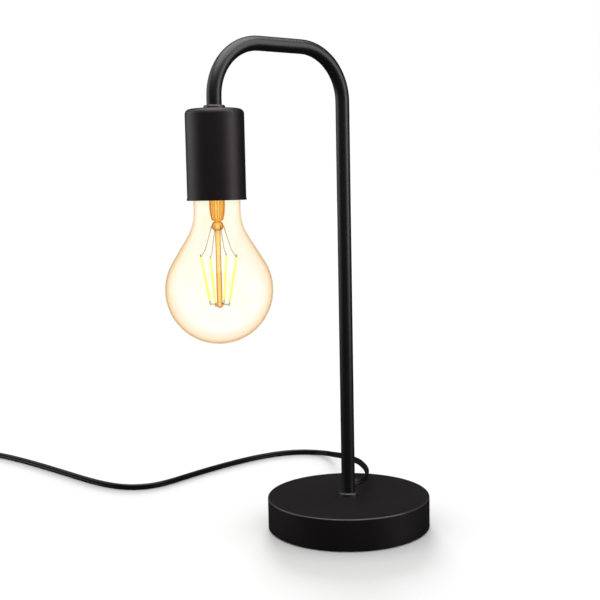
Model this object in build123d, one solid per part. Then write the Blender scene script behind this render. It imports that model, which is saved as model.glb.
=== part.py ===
from build123d import *
import math
import os

# A bedside lamp: a weighted disc base, a tube bent into an arch, a cup with a screw lampholder that
# points down, an amber bulb, and a flat cord with an in-line rocker switch and a two-pin plug.
# Millimetres. The origin is on the floor under the post, +Z is up and the arm reaches along -X.

# Stem
tube_diameter = 10.0
tube_wall = 1.0
arm_axis_height = 348.5
arm_reach = 109.0
bend_radius = 36.5
drop_length = 8.0
stem_proud = 1.5
thread_clearance = 0.05

# Rings where the tube enters the base and the cover
collar_diameter = 14.4
collar_height = 2.5
collar_edge_radius = 1.2

# Base
base_diameter = 120.0
base_height = 23.5
shell_wall = 1.5
shell_edge_radius = 0.9
rim_gap = 1.0
pad_thickness = 2.5
base_clearance = 0.3
recess_diameter = 84.0
recess_depth = 9.0
washer_diameter = 24.0
washer_thickness = 1.5
nut_across_flats = 14.0
nut_thickness = 4.0

# Cord exit in the rear of the post
exit_height = 8.0
grommet_diameter = 6.2
grommet_flange_diameter = 7.6
grommet_flange = 1.0
fit_clearance = 0.05
core_diameter = 2.0
core_spacing = 2.2
core_bend = 4.0

# Cover round the lampholder
cover_diameter = 39.0
cover_height = 59.5
cover_wall = 1.2
cover_shoulder_radius = 3.5
cover_lip_height = 1.4
cover_lip_proud = 0.25

# Lampholder inside the cover
holder_diameter = 34.0
dome_height = 16.0
dome_plate = 2.5
dome_wall = 2.5
holder_nut_thickness = 2.5
holder_end_proud = 0.8
insert_diameter = 30.0
insert_thickness = 8.0
insert_clearance = 0.2
terminal_length = 6.0
terminal_width = 6.0
terminal_height = 4.5
terminal_offset = 10.0
leg_diameter = 2.4
live_leg_offset = 8.5
neutral_leg_offset = 12.0
fan_rise = 0.2
fan_drop = 1.9
fan_radius = 2.5
terminal_screw_diameter = 2.5
terminal_screw_head = 4.0
terminal_screw_head_height = 1.4

# Screw contact: the round thread of a 27 mm lampholder
thread_pitch = 3.629
screw_bore = 27.0
screw_wall = 0.7
screw_length = 23.8
screw_flange_bore = 21.6
skirt_clearance = 0.2
skirt_overhang = 0.8
shell_ridge_height = 0.9
shell_ridge_foot = 2.0
shell_ridge_crest = 1.0
shell_ridge_start = 2.5
shell_ridge_turns = 3.2
contact_thickness = 0.6
contact_width = 5.0
contact_tail = 3.0
contact_end = 1.9
dimple_diameter = 5.0
dimple_height = 1.2

# Bulb cap
tip_gap = 0.3
tip_diameter = 9.2
tip_height = 1.2
insulator_height = 3.6
insulator_top_diameter = 11.2
insulator_diameter = 22.0
cap_height = 21.2
cap_core_diameter = 24.3
cap_wall = 0.6
cap_rim_diameter = 26.4
cap_rim_height = 4.0
cap_flare_height = 1.2
cap_hole_diameter = 18.0
cap_ridge_radius = 1.0
cap_ridge_start = 7.0
cap_ridge_turns = 3.4
board_diameter = 22.6
board_thickness = 1.2
board_height = 12.0
capacitor_diameter = 6.0
capacitor_height = 8.0

# Bulb glass
belly_radius = 36.0
belly_below_cap = 65.7
cone_angle = 31.6
neck_radius = 15.6
neck_blend_radius = 32.0
glass_wall = 0.6
neck_below_cap = 5.5
neck_end_radius = 12.2
neck_end_height = 3.0

# Bulb mount
flare_radius = 10.8
flare_length = 6.5
throat_radius = 4.8
throat_length = 12.7
waist_radius = 3.5
pinch_radius = 1.6
pinch_drop = 1.0
bead_radius = 3.8
bead_height = 5.8
rod_radius = 1.8
rod_tip_radius = 2.4
filament_count = 4
filament_diameter = 1.8
filament_top_radius = 12.8
filament_top_below_cap = 44.2
filament_foot_radius = 7.3
filament_foot_below_cap = 73.0
filament_first_angle = 32.7
lead_diameter = 0.7
lead_gap = 0.1
lead_elbow_radius = 9.6
lead_elbow_rise = 5.0
lead_bend = 2.0
link_drop = 2.4
link_bend = 0.8

# Cord
cord_width = 4.9
cord_straight = 9.8
cord_arc_share = 0.45

# Switch on the cord
switch_centre = (-200.0, 334.0)
switch_heading = 262.0
switch_length = 64.0
switch_end_width = 23.0
switch_waist_width = 19.5
switch_corner_radius = 6.0
switch_lower_height = 8.0
switch_upper_height = 8.5
switch_wall = 2.0
switch_edge_radius = 2.5
switch_foot_radius = 1.0
boss_length = 34.0
boss_width = 14.0
boss_top_length = 27.0
boss_top_width = 12.4
boss_height = 2.0
boss_edge_radius = 0.5
opening_length = 21.5
opening_width = 9.4
rocker_gap = 0.4
rocker_end_gap = 1.4
rocker_tilt = 9.0
rocker_valley_above_boss = 0.8
rocker_edge_radius = 0.4
rocker_depth = 3.5
pivot_above_parting = 4.5
pin_diameter = 2.5
pin_clearance = 0.05
cheek_length = 8.0
cheek_width = 3.0
cheek_drop = 2.0
rocker_contact_length = 18.0
rocker_contact_width = 5.0
rocker_contact_thickness = 0.6
post_diameter = 2.2
post_place = 7.0
post_spacing = 3.0
post_gap = 0.35
switch_terminal_place = 17.0
switch_terminal_side = 5.2
switch_terminal_length = 7.0
switch_terminal_width = 5.0
switch_terminal_height = 5.0
switch_screw_place = 26.5
switch_screw_side = 6.4
switch_screw_diameter = 2.2
switch_screw_head = 4.2
switch_screw_head_height = 1.6
switch_screw_bite = 4.0
switch_pillar_diameter = 5.4
screw_clearance = 0.1
wire_straight = 6.0
wire_slope = 6.0
wire_side = 6.4
wire_drop = 3.0
wire_bend = 3.0
wire_hole_clearance = 0.2

# Coil of put-away cord
coil_centre = (-243.0, 238.0)
coil_floor_gap = 1.3
coil_pitch = 5.5
coil_turns_each_way = 2.5
coil_climb_turns = 0.5
coil_samples = 600
coil_middle_diameter = 54.0
tie_angle = -60.0
tie_width = 5.0
tie_thickness = 0.8
tie_clearance = 0.35

# Plug
plug_relief_diameter = 7.0
plug_relief_length = 20.0
plug_neck_width = 12.0
plug_neck_height = 10.0
plug_taper_length = 18.0
plug_width = 34.0
plug_height = 13.6
plug_front_length = 10.0
plug_corner_radius = 4.5
plug_heading = 93.0
plug_gap = 36.0
pin_spacing = 18.6
pin_length = 19.0
pin_width = 4.0
pin_root_diameter = 2.6
pin_root_length = 5.0
pin_tip_radius = 1.2
sleeve_length = 10.0
sleeve_diameter = 3.4

# One overrun for every cut
overrun = 1.0

# Heights and places that follow
tube_radius = tube_diameter / 2
tube_bore = tube_diameter - 2 * tube_wall
thread_bore = tube_diameter + 2 * thread_clearance
head_x = -arm_reach
recess_top = pad_thickness + recess_depth
washer_bottom = recess_top - washer_thickness
nut_bottom = washer_bottom - nut_thickness
stem_bottom = nut_bottom - stem_proud
exit_z = base_height + exit_height
exit_face = tube_radius + grommet_flange
cover_top = arm_axis_height - bend_radius - drop_length
cover_bottom = cover_top - cover_height
holder_top = cover_top - cover_wall
holder_nut_top = holder_top - dome_plate
holder_nut_bottom = holder_nut_top - holder_nut_thickness
stem_end = holder_nut_bottom - holder_end_proud
insert_top = holder_top - dome_height
insert_bottom = insert_top - insert_thickness
terminal_top = insert_top + terminal_height
screw_bottom = insert_bottom - screw_length
skirt_bottom = screw_bottom - skirt_overhang
skirt_bore = screw_bore + 2 * screw_wall + 2 * skirt_clearance
contact_bottom = insert_bottom - contact_thickness
dimple_bottom = contact_bottom - dimple_height
tip_top = dimple_bottom - tip_gap
tip_bottom = tip_top - tip_height
cap_top = tip_bottom - insulator_height
cap_bottom = cap_top - cap_height
belly_height = cap_bottom - belly_below_cap
filament_top = cap_bottom - filament_top_below_cap
filament_foot = cap_bottom - filament_foot_below_cap
switch_top = switch_lower_height + switch_upper_height
boss_top = switch_top + boss_height
pivot_z = switch_lower_height + pivot_above_parting
coil_turns = 2 * coil_turns_each_way + coil_climb_turns
coil_inner = (coil_middle_diameter - coil_pitch * coil_turns / 2) / 2
coil_outer = coil_inner + coil_pitch * coil_turns / 2

# The cord's route over the base and along the floor to the switch, chosen by hand
cord_exit = (exit_face, 0.0, exit_z)
run_points = [
    (11.0, 0.0, 31.5),
    (19.0, 2.6, 31.8),
    (27.0, 9.5, 32.1),
    (35.0, 19.5, 32.2),
    (42.0, 31.5, 31.9),
    (49.0, 45.5, 31.0),
    (57.5, 62.5, 28.0),
    (69.5, 86.0, 23.0),
    (83.0, 110.0, 17.5),
    (96.0, 132.0, 11.5),
    (107.0, 149.0, 6.6),
    (113.0, 164.0, 3.6),
    (110.5, 178.0, 2.5),
    (100.0, 190.5, 2.5),
    (81.0, 199.0, 2.5),
    (56.0, 201.5, 2.5),
    (30.0, 199.5, 2.5),
    (4.0, 195.5, 2.5),
    (-22.0, 190.0, 2.5),
    (-46.0, 184.0, 2.5),
    (-65.0, 182.5, 2.5),
    (-81.0, 191.5, 2.5),
    (-90.0, 207.0, 2.5),
    (-95.5, 227.0, 2.5),
    (-99.5, 250.0, 2.5),
    (-103.5, 278.0, 2.5),
    (-108.5, 310.0, 2.5),
    (-114.5, 342.0, 2.5),
    (-121.5, 370.0, 2.5),
    (-131.0, 393.0, 2.5),
    (-147.0, 409.0, 2.5),
    (-167.0, 413.0, 3.0),
    (-184.0, 402.0, 4.8),
    (-191.5, 386.5, 7.4),
]
lead_points = [
    (-207.3, 279.5, 6.6),
    (-208.4, 265.5, 4.8),
]


def disc(diameter, bottom, top, x=0.0, y=0.0):
    cylinder = Cylinder(diameter / 2, top - bottom, align=(Align.CENTER, Align.CENTER, Align.MIN))
    return Pos(x, y, bottom) * cylinder


def ring(outer, inner, bottom, top, x=0.0, y=0.0):
    return disc(outer, bottom, top, x, y) - disc(inner, bottom - overrun, top + overrun, x, y)


def block(length, width, bottom, top, x=0.0, y=0.0):
    box = Box(length, width, top - bottom, align=(Align.CENTER, Align.CENTER, Align.MIN))
    return Pos(x, y, bottom) * box


def hex_nut(across_flats, bottom, top, x=0.0):
    hexagon = RegularPolygon(across_flats / 2, 6, major_radius=False)
    nut = Pos(x, 0, bottom) * extrude(hexagon, top - bottom)
    return nut - disc(thread_bore, bottom - overrun, top + overrun, x)


def turned(edges, x=0.0):
    # A solid turned about the upright axis at x from outline edges drawn as (radius, height).
    profile = make_face(Plane.XZ * Curve(edges))
    return Pos(x, 0, 0) * revolve(profile, Axis.Z)


def wire_along(path, diameter):
    section = Plane(origin=path @ 0, z_dir=path % 0) * Circle(diameter / 2)
    return sweep(section, path=path)


def thread_ridge(profile, radius, bottom, turns):
    # A ridge with a round or angular section, wound right-handed about the Z axis.
    helix = Helix(thread_pitch, turns * thread_pitch, radius)
    section = Plane(origin=helix @ 0, x_dir=(1, 0, 0), z_dir=helix % 0) * profile
    return Pos(0, 0, bottom) * sweep(section, path=helix, is_frenet=True)


def save(name, *solids):
    shape = solids[0] if len(solids) == 1 else Compound(list(solids))
    export_step(shape, f"parts/{name}.step")


def make_base():
    outer = disc(base_diameter, rim_gap, base_height)
    outer = fillet(outer.edges().group_by(Axis.Z)[-1], shell_edge_radius)
    inner_diameter = base_diameter - 2 * shell_wall
    shell = outer - disc(inner_diameter, rim_gap - overrun, base_height - shell_wall)
    shell -= disc(thread_bore, rim_gap, base_height + overrun)
    save("base_shell", shell)
    weight_diameter = inner_diameter - 2 * base_clearance
    weight = disc(weight_diameter, pad_thickness, base_height - shell_wall)
    weight -= disc(recess_diameter, pad_thickness - overrun, recess_top)
    weight -= disc(thread_bore, pad_thickness, base_height)
    save("base_weight", weight)
    save("base_pad", disc(weight_diameter, 0, pad_thickness))
    save("stem_washer", ring(washer_diameter, thread_bore, washer_bottom, recess_top))
    save("stem_nut", hex_nut(nut_across_flats, nut_bottom, washer_bottom))


def collar(bottom, x=0.0):
    body = disc(collar_diameter, bottom, bottom + collar_height, x)
    body = fillet(body.edges().group_by(Axis.Z)[-1], collar_edge_radius)
    return body - disc(thread_bore, bottom - overrun, bottom + collar_height + overrun, x)


def make_stem():
    corners = [(0, 0, stem_bottom), (0, 0, arm_axis_height)]
    corners += [(head_x, 0, arm_axis_height), (head_x, 0, stem_end)]
    path = FilletPolyline(*corners, radius=bend_radius)
    section = Circle(tube_radius) - Circle(tube_bore / 2)
    tube = sweep(Pos(0, 0, stem_bottom) * section, path=path)
    hole_diameter = grommet_diameter + 2 * fit_clearance
    sideways = Pos(0, 0, exit_z) * Rot(0, 90, 0)
    bore = Cylinder(hole_diameter / 2, tube_diameter, align=(Align.CENTER, Align.CENTER, Align.MIN))
    save("stem_tube", tube - sideways * bore)
    save("foot_collar", collar(base_height))
    save("head_collar", collar(cover_top, head_x))
    sleeve_start = tube_bore / 2
    sleeve = sideways * disc(grommet_diameter, sleeve_start, exit_face)
    flange = sideways * disc(grommet_flange_diameter, 0, exit_face)
    flange -= disc(tube_diameter + 2 * fit_clearance, exit_z - tube_diameter, exit_z + tube_diameter)
    grommet = sleeve + flange - sideways * disc(cord_width, 0, exit_face + overrun)
    save("cord_grommet", grommet)


def make_cores():
    for name, side in (("live_wire", 1), ("neutral_wire", -1)):
        y = side * core_spacing / 2
        end_y = side * terminal_offset
        points = [(exit_face, y, exit_z), (0, y, exit_z), (0, y, arm_axis_height)]
        points += [(head_x, y, arm_axis_height), (head_x, y, stem_end + fan_rise)]
        points += [(head_x, end_y, terminal_top + fan_drop), (head_x, end_y, terminal_top)]
        radii = [core_bend, bend_radius, bend_radius, fan_radius, fan_radius]
        save(name, wire_along(FilletPolyline(*points, radius=radii), core_diameter))


def make_cover():
    outer = disc(cover_diameter, cover_bottom, cover_top, head_x)
    outer = fillet(outer.edges().group_by(Axis.Z)[-1], cover_shoulder_radius)
    lip_diameter = cover_diameter + 2 * cover_lip_proud
    outer += disc(lip_diameter, cover_bottom, cover_bottom + cover_lip_height, head_x)
    inner = disc(cover_diameter - 2 * cover_wall, cover_bottom - overrun, holder_top, head_x)
    inner_shoulder = cover_shoulder_radius - cover_wall
    inner = fillet(inner.edges().group_by(Axis.Z)[-1], inner_shoulder)
    cup = outer - inner - disc(thread_bore, holder_top - overrun, cover_top + overrun, head_x)
    save("socket_cover", cup)


def make_holder():
    dome = disc(holder_diameter, insert_top, holder_top, head_x)
    dome = fillet(dome.edges().group_by(Axis.Z)[-1], dome_wall)
    dome -= disc(holder_diameter - 2 * dome_wall, insert_top - overrun, holder_nut_top, head_x)
    dome -= disc(thread_bore, insert_top, holder_top + overrun, head_x)
    save("holder_dome", dome)
    save("holder_nut", hex_nut(nut_across_flats, holder_nut_bottom, holder_nut_top, head_x))
    skirt = ring(holder_diameter, skirt_bore, skirt_bottom, insert_top, head_x)
    seat_diameter = insert_diameter + 2 * insert_clearance
    skirt -= disc(seat_diameter, insert_bottom, insert_top + overrun, head_x)
    save("holder_skirt", skirt)
    insert = disc(insert_diameter, insert_bottom, insert_top, head_x)
    leg_hole = leg_diameter + 2 * fit_clearance
    for y in (live_leg_offset, -neutral_leg_offset):
        insert -= disc(leg_hole, insert_bottom - overrun, insert_top + overrun, head_x, y)
    save("holder_insert", insert)


def make_contacts():
    shell = ring(screw_bore + 2 * screw_wall, screw_bore, screw_bottom, insert_bottom)
    flange_bottom = insert_bottom - screw_wall
    shell += ring(screw_bore + screw_wall, screw_flange_bore, flange_bottom, insert_bottom)
    root = screw_wall / 2
    ridge_profile = Polygon(
        (root, shell_ridge_foot / 2),
        (-shell_ridge_height, shell_ridge_crest / 2),
        (-shell_ridge_height, -shell_ridge_crest / 2),
        (root, -shell_ridge_foot / 2),
        align=None,
    )
    ridge_bottom = screw_bottom + shell_ridge_start
    shell += thread_ridge(ridge_profile, screw_bore / 2, ridge_bottom, shell_ridge_turns)
    save("screw_shell", Pos(head_x, 0, 0) * shell)
    strip_far = live_leg_offset + contact_end
    strip_length = strip_far + contact_tail
    strip_middle = (strip_far - contact_tail) / 2
    strip = block(contact_width, strip_length, contact_bottom, insert_bottom, head_x, strip_middle)
    save("centre_contact", strip + disc(dimple_diameter, dimple_bottom, contact_bottom, head_x))
    screws = []
    for name, side, leg in (("live", 1, live_leg_offset), ("neutral", -1, neutral_leg_offset)):
        y = side * terminal_offset
        body = block(terminal_length, terminal_width, insert_top, terminal_top, head_x, y)
        body += disc(leg_diameter, insert_bottom, insert_top, head_x, side * leg)
        screw_z = (insert_top + terminal_top) / 2
        across = Pos(head_x, y, screw_z) * Rot(0, 90, 0)
        face = terminal_length / 2
        body -= across * disc(terminal_screw_diameter + 2 * fit_clearance, 0, face + overrun)
        shank = disc(terminal_screw_diameter, 0, face)
        head = disc(terminal_screw_head, face, face + terminal_screw_head_height)
        screws.append(across * (shank + head))
        save(f"{name}_terminal", body)
    save("terminal_screws", *screws)


def make_bulb_cap():
    tip = disc(tip_diameter, tip_bottom, tip_top, head_x)
    tip = fillet(tip.edges().group_by(Axis.Z)[-1], tip_height / 2)
    save("bulb_contact", tip)
    insulator = Cone(
        insulator_diameter / 2,
        insulator_top_diameter / 2,
        insulator_height,
        align=(Align.CENTER, Align.CENTER, Align.MIN),
    )
    save("bulb_insulator", Pos(head_x, 0, cap_top) * insulator)
    core = cap_core_diameter / 2
    rim = cap_rim_diameter / 2
    rim_top = cap_bottom + cap_rim_height
    core_bottom = rim_top + cap_flare_height
    outline = Polyline(
        (rim, cap_bottom),
        (rim, rim_top),
        (core, core_bottom),
        (core, cap_top),
        (cap_hole_diameter / 2, cap_top),
        (cap_hole_diameter / 2, cap_top - cap_wall),
        (core - cap_wall, cap_top - cap_wall),
        (core - cap_wall, core_bottom),
        (rim - cap_wall, rim_top),
        (rim - cap_wall, cap_bottom),
        close=True,
    )
    cap = turned([outline])
    # The bulb's ridge lies half a pitch from the holder's ridge, all the way round.
    holder_ridge = screw_bottom + shell_ridge_start
    nearest = holder_ridge + thread_pitch / 2
    steps = math.floor((cap_bottom + cap_ridge_start - nearest) / thread_pitch)
    ridge_bottom = nearest + steps * thread_pitch
    cap += thread_ridge(Circle(cap_ridge_radius), core, ridge_bottom, cap_ridge_turns)
    cap -= disc(cap_core_diameter - 2 * cap_wall, core_bottom, cap_top - cap_wall)
    save("bulb_cap", Pos(head_x, 0, 0) * cap)
    board_z = cap_bottom + board_height
    driver = disc(board_diameter, board_z, board_z + board_thickness, head_x)
    driver += disc(capacitor_diameter, board_z - capacitor_height, board_z, head_x)
    save("bulb_driver", driver)


def glass_outline(inset):
    # The outer glass line as arcs and lines, or the inner one an even inset inside it, from the
    # bottom of the belly up to the end of the neck.
    belly = belly_radius - inset
    neck = neck_radius - inset
    blend = neck_blend_radius + inset
    slope = math.radians(cone_angle)
    tangent = (belly * math.cos(slope), belly_height + belly * math.sin(slope))
    # The blend's centre is one blend radius outside both the cone and the neck.
    centre_r = neck + blend
    along = (centre_r - (belly + blend) * math.cos(slope)) / math.sin(slope)
    centre_z = belly_height + (belly + blend) * math.sin(slope) - along * math.cos(slope)
    blend_start = (centre_r - blend * math.cos(slope), centre_z - blend * math.sin(slope))
    half_slope = slope / 2
    blend_middle = (
        centre_r - blend * math.cos(half_slope),
        centre_z - blend * math.sin(half_slope),
    )
    neck_foot = (neck, centre_z)
    neck_top = (neck, cap_bottom - neck_below_cap)
    end = neck_end_radius - inset
    neck_end_bottom = (end, cap_bottom)
    neck_end_top = (end, cap_bottom + neck_end_height)
    diagonal = math.sqrt(0.5)
    edges = [
        ThreePointArc(
            (0, belly_height - belly),
            (belly * diagonal, belly_height - belly * diagonal),
            (belly, belly_height),
        ),
        ThreePointArc(
            (belly, belly_height),
            (belly * math.cos(half_slope), belly_height + belly * math.sin(half_slope)),
            tangent,
        ),
        Line(tangent, blend_start),
        ThreePointArc(blend_start, blend_middle, neck_foot),
        Line(neck_foot, neck_top),
        Line(neck_top, neck_end_bottom),
        Line(neck_end_bottom, neck_end_top),
    ]
    return edges, (0, belly_height - belly), neck_end_top


def make_bulb_glass():
    outer, outer_bottom, outer_top = glass_outline(0)
    inner, inner_bottom, inner_top = glass_outline(glass_wall)
    edges = outer + inner + [Line(outer_top, inner_top), Line(inner_bottom, outer_bottom)]
    save("bulb_globe", turned(edges, head_x))


def make_bulb_mount():
    flare_top = cap_bottom
    throat_top = flare_top - flare_length
    waist = throat_top - throat_length
    pinch = waist - pinch_drop
    bead_middle = pinch - bead_height / 2
    bead_bottom = pinch - bead_height
    # The bead at the rod's end holds the links, a little below the feet of the sticks.
    tip_middle = filament_foot - link_drop
    rod_bottom = tip_middle + math.sqrt(rod_tip_radius ** 2 - rod_radius ** 2)
    tip_end = tip_middle - rod_tip_radius
    edges = [
        Line((0, tip_end), (0, flare_top)),
        Line((0, flare_top), (flare_radius, flare_top)),
        Line((flare_radius, flare_top), (throat_radius, throat_top)),
        Line((throat_radius, throat_top), (waist_radius, waist)),
        Line((waist_radius, waist), (pinch_radius, pinch)),
        ThreePointArc((pinch_radius, pinch), (bead_radius, bead_middle), (rod_radius, bead_bottom)),
        Line((rod_radius, bead_bottom), (rod_radius, rod_bottom)),
        ThreePointArc((rod_radius, rod_bottom), (rod_tip_radius, tip_middle), (0, tip_end)),
    ]
    save("bulb_stem", turned(edges, head_x))
    sticks = []
    leads = []
    links = []
    lead_start = bead_radius + lead_diameter / 2 + lead_gap
    link_start = rod_tip_radius + lead_diameter / 2 + lead_gap
    for index in range(filament_count):
        angle = filament_first_angle + index * 360 / filament_count
        place = Pos(head_x, 0, 0) * Rot(0, 0, angle)
        top = (filament_top_radius, 0, filament_top)
        foot = (filament_foot_radius, 0, filament_foot)
        stick = Line(foot, top)
        sticks.append(place * wire_along(stick, filament_diameter))
        past_end = (stick % 0) * (lead_diameter / 2 + lead_gap)
        elbow = (lead_elbow_radius, 0, filament_top + lead_elbow_rise)
        lead_end = stick @ 1 + past_end
        lead = FilletPolyline((lead_start, 0, bead_middle), elbow, lead_end, radius=lead_bend)
        leads.append(place * wire_along(lead, lead_diameter))
        link_end = stick @ 0 - past_end
        below_end = (link_end.X, 0, tip_middle)
        link = FilletPolyline((link_start, 0, tip_middle), below_end, link_end, radius=link_bend)
        links.append(place * wire_along(link, lead_diameter))
    save("led_filaments", *sticks)
    save("filament_leads", *leads)
    save("filament_links", *links)


def switch_outline(inset):
    half = switch_length / 2 - inset
    end = switch_end_width / 2 - inset
    waist = switch_waist_width / 2 - inset
    edges = [
        ThreePointArc((-half, end), (0, waist), (half, end)),
        Line((half, end), (half, -end)),
        ThreePointArc((half, -end), (0, -waist), (-half, -end)),
        Line((-half, -end), (-half, end)),
    ]
    face = make_face(Curve(edges))
    return fillet(face.vertices(), switch_corner_radius - inset)


def prism(sketch, bottom, top):
    return Pos(0, 0, bottom) * extrude(sketch, top - bottom)


def make_switch():
    place = Pos(switch_centre[0], switch_centre[1], 0) * Rot(0, 0, switch_heading)
    parting = switch_lower_height
    screw_places = [
        (switch_screw_place, -switch_screw_side),
        (-switch_screw_place, switch_screw_side),
    ]
    wire_hole = core_spacing + core_diameter + wire_hole_clearance
    end_bore = Pos(0, 0, parting) * Rot(0, 90, 0) * Cylinder(wire_hole / 2, switch_length + overrun)
    cavity = switch_outline(switch_wall)

    lower = prism(switch_outline(0), 0, parting)
    lower = fillet(lower.edges().group_by(Axis.Z)[0], switch_foot_radius)
    lower -= prism(cavity, switch_wall, parting + overrun)
    for x, y in screw_places:
        lower += disc(switch_pillar_diameter, switch_wall / 2, parting, x, y)
    for x, y in screw_places:
        lower -= disc(switch_screw_diameter + 2 * screw_clearance, -overrun, parting + overrun, x, y)
        head_room = switch_screw_head + 2 * screw_clearance
        lower -= disc(head_room, -overrun, switch_screw_head_height, x, y)
    save("switch_lower", place * (lower - end_bore))

    cheek_bottom = pivot_z - cheek_drop
    ceiling = switch_top - switch_wall
    upper = prism(switch_outline(0), parting, switch_top)
    upper = fillet(upper.edges().group_by(Axis.Z)[-1], switch_edge_radius)
    upper -= prism(cavity, parting - overrun, ceiling)
    boss_foot = Ellipse(boss_length / 2, boss_width / 2)
    boss_rim = Ellipse(boss_top_length / 2, boss_top_width / 2)
    boss = loft([Pos(0, 0, switch_top) * boss_foot, Pos(0, 0, boss_top) * boss_rim])
    boss = fillet(boss.edges().group_by(Axis.Z)[-1], boss_edge_radius)
    upper += prism(boss_foot, ceiling, switch_top) + boss
    for side in (1, -1):
        cheek_y = side * (opening_width + cheek_width) / 2
        upper += block(cheek_length, cheek_width, cheek_bottom, ceiling, 0, cheek_y)
    for x, y in screw_places:
        upper += disc(switch_pillar_diameter, parting, ceiling, x, y)
    upper -= prism(SlotOverall(opening_length, opening_width), cheek_bottom - overrun, boss_top + overrun)
    pin_length_across = opening_width + 2 * cheek_width
    across = Pos(0, 0, pivot_z) * Rot(90, 0, 0)
    upper -= across * Cylinder(pin_diameter / 2 + pin_clearance, pin_length_across)
    for x, y in screw_places:
        bore = switch_screw_diameter + 2 * fit_clearance
        upper -= disc(bore, parting - overrun, parting + switch_screw_bite + fit_clearance, x, y)
    save("switch_upper", place * (upper - end_bore))
    save("rocker_pin", place * (across * Cylinder(pin_diameter / 2, pin_length_across)))

    # The rocker's top is a saddle, low over its pin. It rests tipped, with one end pressed level.
    rocker_length = opening_length - 2 * rocker_end_gap
    rocker_width = opening_width - 2 * rocker_gap
    reach = rocker_length / 2
    floor_z = pivot_z - rocker_depth
    valley = boss_top + rocker_valley_above_boss
    side_end = reach + overrun
    side_top = valley + side_end * math.tan(math.radians(rocker_tilt)) / 2
    side_bottom = floor_z - overrun
    side_edges = [
        ThreePointArc((-side_end, side_top), (0, valley), (side_end, side_top)),
        Line((side_end, side_top), (side_end, side_bottom)),
        Line((side_end, side_bottom), (-side_end, side_bottom)),
        Line((-side_end, side_bottom), (-side_end, side_top)),
    ]
    rocker = extrude(Plane.XZ * make_face(Curve(side_edges)), rocker_width, both=True)
    rocker &= prism(SlotOverall(rocker_length, rocker_width), floor_z, side_top + overrun)
    rocker = fillet(rocker.faces().sort_by(Axis.Z)[-1].edges(), rocker_edge_radius)
    rocker -= across * Cylinder(pin_diameter / 2 + pin_clearance, rocker_width + overrun)
    strip = block(rocker_contact_length, rocker_contact_width, floor_z - rocker_contact_thickness, floor_z)
    tip = Pos(0, 0, pivot_z) * Rot(0, rocker_tilt, 0) * Pos(0, 0, -pivot_z)
    save("switch_rocker", place * tip * rocker)
    save("rocker_contact", place * tip * strip)

    # Fixed contacts under the pressed wing
    tilt = math.radians(rocker_tilt)
    strip_drop = rocker_depth + rocker_contact_thickness
    post_far = post_place + post_diameter / 2
    strip_z = pivot_z - (strip_drop + post_far * math.sin(tilt)) / math.cos(tilt)
    post_top = strip_z - post_gap
    posts = []
    for side in (1, -1):
        posts.append(place * disc(post_diameter, switch_wall, post_top, post_place, side * post_spacing / 2))
    save("switch_posts", *posts)
    terminals = []
    terminal_z = switch_wall + switch_terminal_height
    for side in (1, -1):
        x = side * switch_terminal_place
        terminals.append(place * block(
            switch_terminal_length, switch_terminal_width, switch_wall, terminal_z, x, switch_terminal_side
        ))
    save("switch_terminals", *terminals)
    screws = []
    for x, y in screw_places:
        head = disc(switch_screw_head, 0, switch_screw_head_height, x, y)
        shank = disc(switch_screw_diameter, 0, parting + switch_screw_bite, x, y)
        screws.append(place * (head + shank))
    save("switch_screws", *screws)

    # One core runs straight through, the other is cut and goes to the two terminals.
    half = switch_length / 2
    y = core_spacing / 2
    low = parting - wire_drop
    turn_x = half - wire_straight
    side_x = turn_x - wire_slope
    through = FilletPolyline(
        (-half, -y, parting),
        (-turn_x, -y, parting),
        (-side_x, -wire_side, low),
        (side_x, -wire_side, low),
        (turn_x, -y, parting),
        (half, -y, parting),
        radius=wire_bend,
    )
    wires = [place * wire_along(through, core_diameter)]
    face_x = switch_terminal_place + switch_terminal_length / 2
    for side in (1, -1):
        cut = FilletPolyline(
            (side * half, y, parting),
            (side * turn_x, y, parting),
            (side * (face_x + core_diameter), switch_terminal_side, low),
            (side * face_x, switch_terminal_side, low),
            radius=core_diameter,
        )
        wires.append(place * wire_along(cut, core_diameter))
    save("switch_wires", *wires)


def way_of(heading):
    return Vector(math.cos(math.radians(heading)), math.sin(math.radians(heading)), 0)


def switch_end(side, beyond=0.0):
    middle = Vector(*switch_centre, switch_lower_height)
    return tuple(middle + way_of(switch_heading) * side * (switch_length / 2 + beyond))


def corner_radii(points):
    radii = []
    for before, corner, after in zip(points, points[1:], points[2:]):
        into = Vector(*corner) - Vector(*before)
        out = Vector(*after) - Vector(*corner)
        shorter = min(into.length, out.length)
        half_turn = math.radians(into.get_angle(out)) / 2
        radii.append(cord_arc_share * shorter / math.tan(half_turn))
    return radii


def cord_tube(name, points):
    radii = corner_radii(points)
    path = FilletPolyline(*points, radius=radii)
    tube = wire_along(path, cord_width)
    expected = path.length * math.pi * cord_width ** 2 / 4
    print(f"{name}: {path.length:.1f} long, radii {[round(r, 1) for r in radii]}")
    print(f"{name}: volume {tube.volume:.0f}, section times length {expected:.0f}")
    save(name, tube)
    return path.length


def biarc(start, start_way, end, end_way):
    # Two tangent arcs between two points with given directions.
    chord = end - start
    ways = start_way + end_way
    spread = 2 * (1 - start_way.dot(end_way))
    reach = (math.sqrt(chord.dot(ways) ** 2 + spread * chord.dot(chord)) - chord.dot(ways)) / spread
    first = start + start_way * reach
    second = end - end_way * reach
    middle = (first + second) / 2
    return [
        TangentArc(start, middle, tangent=start_way),
        TangentArc(middle, end, tangent=(second - first).normalized()),
    ]


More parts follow.
